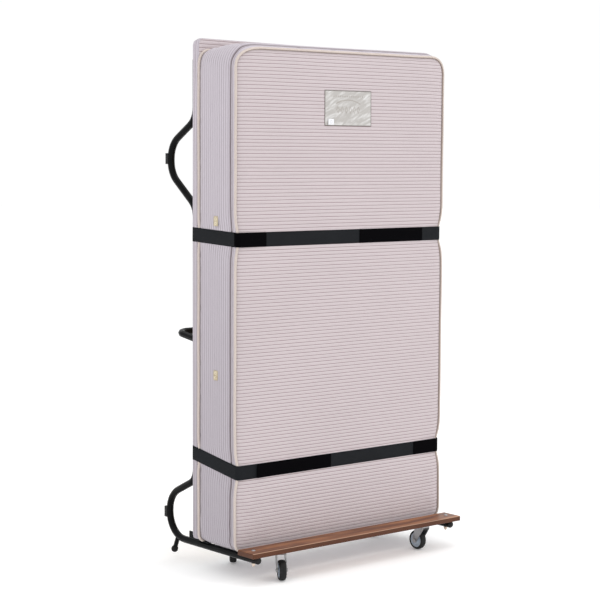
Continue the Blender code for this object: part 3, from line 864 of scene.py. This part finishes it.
def onFront(x, z):
    hit, _, _, _ = mattressSkin.ray_cast(Vector((x, frontY - 0.2, z)), Vector((0, 1, 0)))
    return hit.y


def onLeft(y, z):
    hit, _, _, _ = mattressSkin.ray_cast(Vector((-1.0, y, z)), Vector((1, 0, 0)))
    return hit.x


def ribbonLengths(points, closed):
    lengths = [0.0]
    for first, second in zip(points, points[1:] + (points[:1] if closed else [])):
        lengths.append(lengths[-1] + (second - first).length)
    return lengths


def underStraps(place):
    # where a strap crosses it, the cord is pressed in behind the webbing
    reach = place.y - frontY
    near = strapNearness(reach, place.z, 0.016)
    if abs(place.x) < halfWidth - 0.08 or near < 0.01:
        return place
    shell = strapLook["thickness"] / 2 + 0.0006 + pipingLook["radius"]
    target = place.copy()
    if reach < 0.05:
        bend = strapLook["cornerRadius"]
        inner = (bend - shell) * 0.7071
        target.x = strapSide(reach) - bend + inner
        target.y = frontY - strapLook["frontGap"] + bend - inner
    else:
        target.x = min(abs(place.x), strapSide(reach) - shell)
    target.x = math.copysign(target.x, place.x)
    return place.lerp(target, near)


def makePiping(name, rim, corners, stands):
    # a round cord swept along the rim, with the bias strip's own layout
    count, sides = len(rim), pipingLook["sides"]
    line = []
    for rest, now in rim:
        wide, tall = cornerAt(rest.x, rest.z - middleZ, corners)
        inX = max(0.0, abs(rest.x) - (halfWidth - wide)) / wide**2
        inZ = max(0.0, abs(rest.z - middleZ) - (mattressHigh.z - middleZ - tall)) / tall**2
        away = Vector((math.copysign(inX, rest.x), 0, math.copysign(inZ, rest.z - middleZ)))
        if away.length < 1e-6:
            away = Vector((math.copysign(1, rest.x), 0, 0))
        line.append(underStraps(now + away.normalized() * pipingLook["outset"]))
    eased = [(line[i - 1] + line[i] * 2 + line[(i + 1) % count]) / 4 for i in range(count)]
    lengths = ribbonLengths(eased, True)
    bm = bmesh.new()
    bmesh.ops.create_grid(bm, x_segments=count, y_segments=sides, size=0.5)
    along = bm.verts.layers.float.new("along")
    around = bm.verts.layers.float.new("around")
    for vertex in bm.verts:
        step = round((vertex.co.x + 0.5) * count)
        turn = round((vertex.co.y + 0.5) * sides) / sides
        here = eased[step % count]
        tangent = (eased[(step + 1) % count] - eased[(step - 1) % count]).normalized()
        across = tangent.cross(Vector((0, 1, 0))).normalized()
        angle = 2 * math.pi * turn
        vertex[along] = lengths[step]
        vertex[around] = angle * pipingLook["radius"]
        offset = across * math.cos(angle) + Vector((0, 1, 0)) * math.sin(angle)
        vertex.co = here + offset * pipingLook["radius"]
    flat = bm.loops.layers.uv.new("cloth")
    for face in bm.faces:
        for loop in face.loops:
            loop[flat].uv = (loop.vert[along], loop.vert[around])
    bmesh.ops.remove_doubles(bm, verts=bm.verts, dist=1e-5)
    bmesh.ops.recalc_face_normals(bm, faces=bm.faces[:])
    addPiece(name, bm, [pipingBeige], [stands])


makePiping("piping_cord_front", rims["front"], mattressLook["corners"], "piping_front")
makePiping("piping_cord_rear", rims["rear"], mattressLook["rearCorners"], "piping_rear")
print("piping made")


baseLook = {
    "corner": 0.016,
    "cell": 0.020,
    "rows": (0.009, 0.0175, 0.026),
    "crown": 0.0030,
    "edge": 0.0045,
    "rise": 0.0075,
    "fall": 0.0090,
    "drawIn": 0.0095,
}


def makeBase(look):
    corners = dict.fromkeys(mattressLook["corners"], (look["corner"], look["corner"]))
    bm = coverBody(baseLow, baseHigh, corners, corners, look["cell"], look["rows"])
    middle = (baseLow + baseHigh) / 2
    halfX, halfZ = (baseHigh.x - baseLow.x) / 2, (baseHigh.z - baseLow.z) / 2
    pocketX, pocketZ = boardHigh.x + 0.0003, (boardHigh.z - boardLow.z) / 2 + 0.0003
    # the back opens into a pocket for the board
    back = [face for face in bm.faces if face.calc_center_median().y > baseHigh.y - 1e-4]
    bmesh.ops.delete(bm, geom=back, context="FACES")
    rim = [edge for edge in bm.edges if edge.is_boundary]
    for backY in (baseHigh.y, boardLow.y - 0.0003):
        made = bmesh.ops.extrude_edge_only(bm, edges=rim)["geom"]
        ring = [item for item in made if isinstance(item, bmesh.types.BMVert)]
        rim = [item for item in made if isinstance(item, bmesh.types.BMEdge)]
        for vertex in ring:
            x, z = vertex.co.x - middle.x, vertex.co.z - middle.z
            vertex.co.x = middle.x + max(-pocketX, min(pocketX, x))
            vertex.co.z = middle.z + max(-pocketZ, min(pocketZ, z))
            vertex.co.y = backY
    bmesh.ops.contextual_create(bm, geom=rim)
    bmesh.ops.triangulate(bm, faces=[face for face in bm.faces if len(face.verts) > 4])
    for vertex in bm.verts:
        if vertex.co.y > boardLow.y - 0.001:
            continue
        x, z = vertex.co.x - middle.x, vertex.co.z - middle.z
        side = min(halfX - abs(x), halfZ - abs(z))
        reach = vertex.co.y - baseLow.y
        if reach < 1e-4:
            vertex.co.y += look["edge"] * max(0.0, 1 - min(side, 0.02) / 0.02) ** 2
            vertex.co.y -= look["crown"] * min(1.0, side / 0.10)
    for vertex in bm.verts:
        if vertex.co.y > baseHigh.y - 0.001:
            continue
        x, z = vertex.co.x - middle.x, vertex.co.z - middle.z
        if abs(x) < pocketX + 0.001 and z < pocketZ + 0.001 and vertex.co.y > boardLow.y - 0.001:
            continue
        high = between(0.0, 1.0, (z - halfZ + 0.12) / 0.12)
        vertex.co.z += high * between(look["rise"], -look["fall"], (x + halfX) / (2 * halfX))
        taper = between(0.0, 1.0, (z - halfZ + 0.42) / 0.42) ** 1.5
        outer = between(0.0, 1.0, (-x - pocketX + 0.02) / 0.02)
        vertex.co.x += look["drawIn"] * taper * outer
    bmesh.ops.recalc_face_normals(bm, faces=bm.faces[:])
    piece = addPiece("base_cover", bm, [panelTicking, bandTicking], ["base_upholstery"])
    edges = piece.modifiers.new("softEdges", "BEVEL")
    edges.width = 0.004
    edges.segments = 3
    edges.limit_method = "ANGLE"
    edges.angle_limit = math.radians(50)
    applyOnly(piece, edges)


makeBase(baseLook)
print("base made")


def strapRing(outset):
    # plan of one strap's middle line as (x, reach), once round from the middle of the back
    half = strapLook["thickness"] / 2
    atFront, atBack = strapEnds()
    frontX, backX = atFront + outset, atBack + outset
    frontReach = -strapLook["frontGap"] - outset - half
    backReach = baseHigh.y - frontY + 0.0008 + outset + half
    bend = strapLook["cornerRadius"] + outset
    corners = [(-backX, backReach, 0.007), (-frontX, frontReach, bend), (frontX, frontReach, bend)]
    corners.append((backX, backReach, 0.007))
    points = [(0.0, backReach)]
    places = [(0.0, backReach), *[(x, reach) for x, reach, _ in corners], (0.0, backReach)]
    for index, (x, reach, radius) in enumerate(corners, 1):
        here = Vector(places[index])
        before = (Vector(places[index - 1]) - here).normalized()
        after = (Vector(places[index + 1]) - here).normalized()
        for step in range(9):
            share = step / 8
            a = here + before * radius * (1 - share)
            b = here + after * radius * share
            point = a.lerp(b, share)
            points.append((point.x, point.y))
    points.append((0.0, backReach))
    return points


def fillLine(points, gap):
    # extra points along the straight stretches
    filled = []
    for first, second in zip(points, points[1:]):
        a, b = Vector(first), Vector(second)
        steps = max(1, round((b - a).length / gap))
        filled += [a.lerp(b, step / steps) for step in range(steps)]
    return [*filled, Vector(points[-1])]


def sweepRibbon(plan, heightAt, width, closed, lift=None):
    # a flat woven band stood on its edge along a plan line
    count = len(plan) - 1
    lengths = ribbonLengths([Vector((p.x, p.y, 0)) for p in plan], False)
    bm = bmesh.new()
    bmesh.ops.create_grid(bm, x_segments=count, y_segments=6, size=0.5)
    along = bm.verts.layers.float.new("along")
    over = bm.verts.layers.float.new("over")
    for vertex in bm.verts:
        step = round((vertex.co.x + 0.5) * count)
        v = vertex.co.y
        here = plan[step]
        before, after = plan[max(0, step - 1)], plan[min(count, step + 1)]
        if closed and step in (0, count):
            before, after = plan[count - 1], plan[1]
        tangent = (after - before).normalized()
        out = Vector((tangent.y, -tangent.x))
        push = (lift(step / count, v) if lift else 0.0) - 0.00035 * (2 * v) ** 4
        slack = 0.00035 * noise.noise(Vector((lengths[step] * 9.0, v * 1.5, 7.0)))
        vertex[along] = lengths[step]
        vertex[over] = v * width
        vertex.co.x = here.x + out.x * (push + slack)
        vertex.co.y = here.y + out.y * (push + slack) + frontY
        vertex.co.z = heightAt(here.y) + v * width
    if closed:
        bmesh.ops.remove_doubles(bm, verts=bm.verts, dist=1e-6)
    bmesh.ops.recalc_face_normals(bm, faces=bm.faces[:])
    return bm, lengths[-1]


def thicken(bm, total, thickness, name, material, stands):
    # gives a cloth its thickness and lays it out flat, in metres
    along, over = bm.verts.layers.float["along"], bm.verts.layers.float["over"]
    bmesh.ops.solidify(bm, geom=bm.faces[:], thickness=thickness)
    bmesh.ops.recalc_face_normals(bm, faces=bm.faces[:])
    flat = bm.loops.layers.uv.new("cloth")
    for face in bm.faces:
        found = [loop.vert[along] for loop in face.loops]
        wraps = max(found) - min(found) > total / 2
        for loop, length in zip(face.loops, found):
            if wraps and length < total / 2:
                length += total
            loop[flat].uv = (length, loop.vert[over])
    return addPiece(name, bm, [material], stands)


def makeStrap(place, stands):
    plan = fillLine(strapRing(0.0), 0.012)
    width, thickness = strapLook["width"], strapLook["thickness"]
    bm, total = sweepRibbon(plan, lambda at: strapHeight(place, at), width, True)
    name = "webbing_" + place
    piece = thicken(bm, total, thickness, name, webbingBlack, [stands])


# where each length of hook tape starts and ends along the strap, from the middle of its front
patchLook = {
    "strap_upper_end": {"place": "upper", "from": -0.552, "to": -0.395, "raise": 0.0},
    "strap_upper_patch": {"place": "upper", "from": 0.077, "to": 0.424, "raise": 0.0},
    "strap_lower_patch": {"place": "lower", "from": -0.440, "to": -0.063, "raise": 0.0036},
    "strap_lower_end": {"place": "lower", "from": 0.386, "to": 0.545, "raise": 0.0},
}


def alongStrap(outset, start, end):
    plan = fillLine(strapRing(outset), 0.004)
    lengths = ribbonLengths([Vector((p.x, p.y, 0)) for p in plan], False)
    middle = lengths[-1] / 2
    return [p for p, length in zip(plan, lengths) if start <= length - middle <= end]


def makePatch(name, look):
    plan = alongStrap(strapLook["thickness"] + 0.0004, look["from"], look["to"])

    def lift(share, v):
        return look["raise"] * bell(share, 0.10) + 0.0003 * bell(1 - share, 0.05)

    place, width = look["place"], strapLook["width"] - 0.0006
    bm, total = sweepRibbon(plan, lambda at: strapHeight(place, at), width, False, lift)
    piece = thicken(bm, total, 0.0012, name + "_cloth", hookBlack, [name])


makeStrap("upper", "strap_upper")
makeStrap("lower", "strap_lower")
for name, look in patchLook.items():
    makePatch(name, look)
print("straps made")


def layFlat(name, centre, size, lay, material, stands):
    bm = bmesh.new()
    bmesh.ops.create_grid(bm, x_segments=lay["cells"][0], y_segments=lay["cells"][1], size=0.5)
    along = bm.verts.layers.float.new("along")
    over = bm.verts.layers.float.new("over")
    for vertex in bm.verts:
        u, v = vertex.co.x * size[0], vertex.co.y * size[1]
        edge = min(size[0] / 2 - abs(u), size[1] / 2 - abs(v))
        loose = between(0.15, 1.0, edge / 0.02)
        crease = noise.noise(Vector((u * 16 + v * 26, v * 16 - u * 8, 1.7)))
        vertex[along], vertex[over] = u, v
        x, z = centre[0] + u, centre[1] + v
        proud = lay["lift"] + lay["folds"] * loose * (0.6 + crease)
        vertex.co = Vector((x, onFront(x, z) - proud, z))
    bmesh.ops.recalc_face_normals(bm, faces=bm.faces[:])
    if sum(face.normal.y for face in bm.faces) > 0:
        bmesh.ops.reverse_faces(bm, faces=bm.faces[:])
    piece = thicken(bm, size[0], lay["thickness"], name, material, stands)


labelLow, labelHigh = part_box("label")
tagLow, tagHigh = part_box("label_tag")
labelAt = ((labelLow.x + labelHigh.x) / 2, (labelLow.z + labelHigh.z) / 2)
tagAt = ((tagLow.x + tagHigh.x) / 2, (tagLow.z + tagHigh.z) / 2)
satinLay = {"cells": (56, 32), "lift": 0.0010, "folds": labelLook["fold"], "thickness": 0.0005}
cardLay = {"cells": (8, 6), "lift": 0.0042, "folds": 0.0003, "thickness": 0.0004}
layFlat("label_satin", labelAt, labelLook["size"], satinLay, satinLabel, ["label"])
layFlat("label_card", tagAt, labelLook["tagSize"], cardLay, tagPaper, ["label_tag"])
print("label made")


ventLook = {
    "size": (0.026, 0.038),
    "thickness": 0.0012,
    "corner": 0.004,
    "holeSpacing": 0.017,
    "hole": 0.0040,
    "lip": 0.0016,
}


def makeVent(name):
    low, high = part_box(name)
    y, z = (low.y + high.y) / 2, (low.z + high.z) / 2
    faceX = -ventLook["thickness"] / 2
    seat = min(onLeft(y + dy, z + dz) for dy in (-0.012, 0, 0.012) for dz in (-0.018, 0, 0.018))
    bm = bmesh.new()
    bmesh.ops.create_cube(bm, size=1.0)
    bmesh.ops.scale(bm, verts=bm.verts, vec=(ventLook["thickness"], *ventLook["size"]))
    sides = [edge for edge in bm.edges if abs(edge.verts[0].co.x - edge.verts[1].co.x) > 1e-5]
    softened = {"profile": 0.5, "affect": "EDGES", "material": -1}
    bmesh.ops.bevel(bm, geom=sides, offset=ventLook["corner"], segments=4, **softened)
    outer = [edge for edge in bm.edges if all(vertex.co.x < 0 for vertex in edge.verts)]
    bmesh.ops.bevel(bm, geom=outer, offset=0.0005, segments=2, **softened)
    for face in bm.faces:
        face.material_index = 0
    for hole in (-ventLook["holeSpacing"] / 2, ventLook["holeSpacing"] / 2):
        ring = bmesh.ops.create_circle(bm, radius=ventLook["lip"] * 0.6, segments=10)["verts"]
        bmesh.ops.rotate(bm, verts=ring, matrix=Matrix.Rotation(math.pi / 2, 3, "Y"))
        bmesh.ops.rotate(bm, verts=ring, matrix=Matrix.Rotation(math.pi / 2, 3, "Z"))
        out = hole + ventLook["hole"] + 0.001
        bmesh.ops.translate(bm, verts=ring, vec=(faceX - 0.0002, 0, out))
        edges = list({edge for vertex in ring for edge in vertex.link_edges})
        bmesh.ops.spin(
            bm,
            geom=ring + edges,
            cent=(faceX, 0, hole),
            axis=(1, 0, 0),
            angle=2 * math.pi,
            steps=28,
            use_merge=True,
        )
    bmesh.ops.remove_doubles(bm, verts=bm.verts, dist=1e-6)
    bmesh.ops.recalc_face_normals(bm, faces=bm.faces[:])
    for face in bm.faces:
        if face.calc_center_median().x < faceX - 0.0001:
            face.material_index = 1
    bmesh.ops.translate(bm, verts=bm.verts, vec=(seat + faceX - 0.0002, y, z))
    brasses = [finishes["ventBrass"], finishes["eyeletBrass"]]
    addPiece(name + "_brass", bm, brasses, [name])


makeVent("vent_plate_upper")
makeVent("vent_plate_lower")
print("vents made")


stageLook = {
    "floorTone": 0.965,
    "floorGlow": 0.16,
    "sky": 1.01,
    "key": {"at": (2.4, -4.6, 4.0), "size": 2.4, "power": 45},
    "side": {"at": (-4.6, 0.4, 3.4), "size": 2.0, "power": 12},
    "top": {"at": (0.3, -0.4, 5.2), "size": 2.6, "power": 30},
}


def makeFloor():
    bm = bmesh.new()
    bmesh.ops.create_circle(bm, cap_ends=True, radius=45, segments=96)
    mesh = bpy.data.meshes.new("floor")
    bm.to_mesh(mesh)
    bm.free()
    paint = Paint("floorPale")
    tone = stageLook["floorTone"]
    mesh.materials.append(
        paint.surface(
            Base_Color=(tone, tone, tone),
            Roughness=0.8,
            Specular_IOR_Level=0.2,
            Emission_Color=(1, 1, 1),
            Emission_Strength=stageLook["floorGlow"],
        )
    )
    floor = bpy.data.objects.new("floor", mesh)
    bpy.context.scene.collection.objects.link(floor)


def makeLight(name, look):
    lamp = bpy.data.lights.new(name, "AREA")
    lamp.shape = "DISK"
    lamp.size = look["size"]
    lamp.energy = look["power"]
    light = bpy.data.objects.new(name, lamp)
    light.location = look["at"]
    aim = Vector((0, 0, 1.0)) - light.location
    light.rotation_euler = aim.to_track_quat("-Z", "Y").to_euler()
    bpy.context.scene.collection.objects.link(light)


cameraLook = {
    "at": (-4.440, -5.044, 1.624),
    "aim": (0.6391, 0.7643, -0.0854),
    "roll": 0.005,
    "lens": 102.06,
}


def makeCamera(look):
    data = bpy.data.cameras.new("camera")
    data.sensor_width = 36
    data.lens = look["lens"]
    data.clip_end = 200
    camera = bpy.data.objects.new("camera", data)
    camera.location = (look["at"][0], look["at"][1] + frontY, look["at"][2])
    turn = Vector(look["aim"]).to_track_quat("-Z", "Y").to_matrix()
    camera.rotation_euler = (turn @ Matrix.Rotation(look["roll"], 3, "Z")).to_euler()
    bpy.context.scene.collection.objects.link(camera)
    bpy.context.scene.camera = camera


makeFloor()
for name in ("key", "side", "top"):
    makeLight(name, stageLook[name])
world = bpy.data.worlds.new("studio")
world.use_nodes = True
sky = world.node_tree.nodes["Background"]
sky.inputs["Color"].default_value = (1, 1, 1, 1)
sky.inputs["Strength"].default_value = stageLook["sky"]
bpy.context.scene.world = world
bpy.context.scene.view_settings.view_transform = "Standard"
makeCamera(cameraLook)
print("stage set")
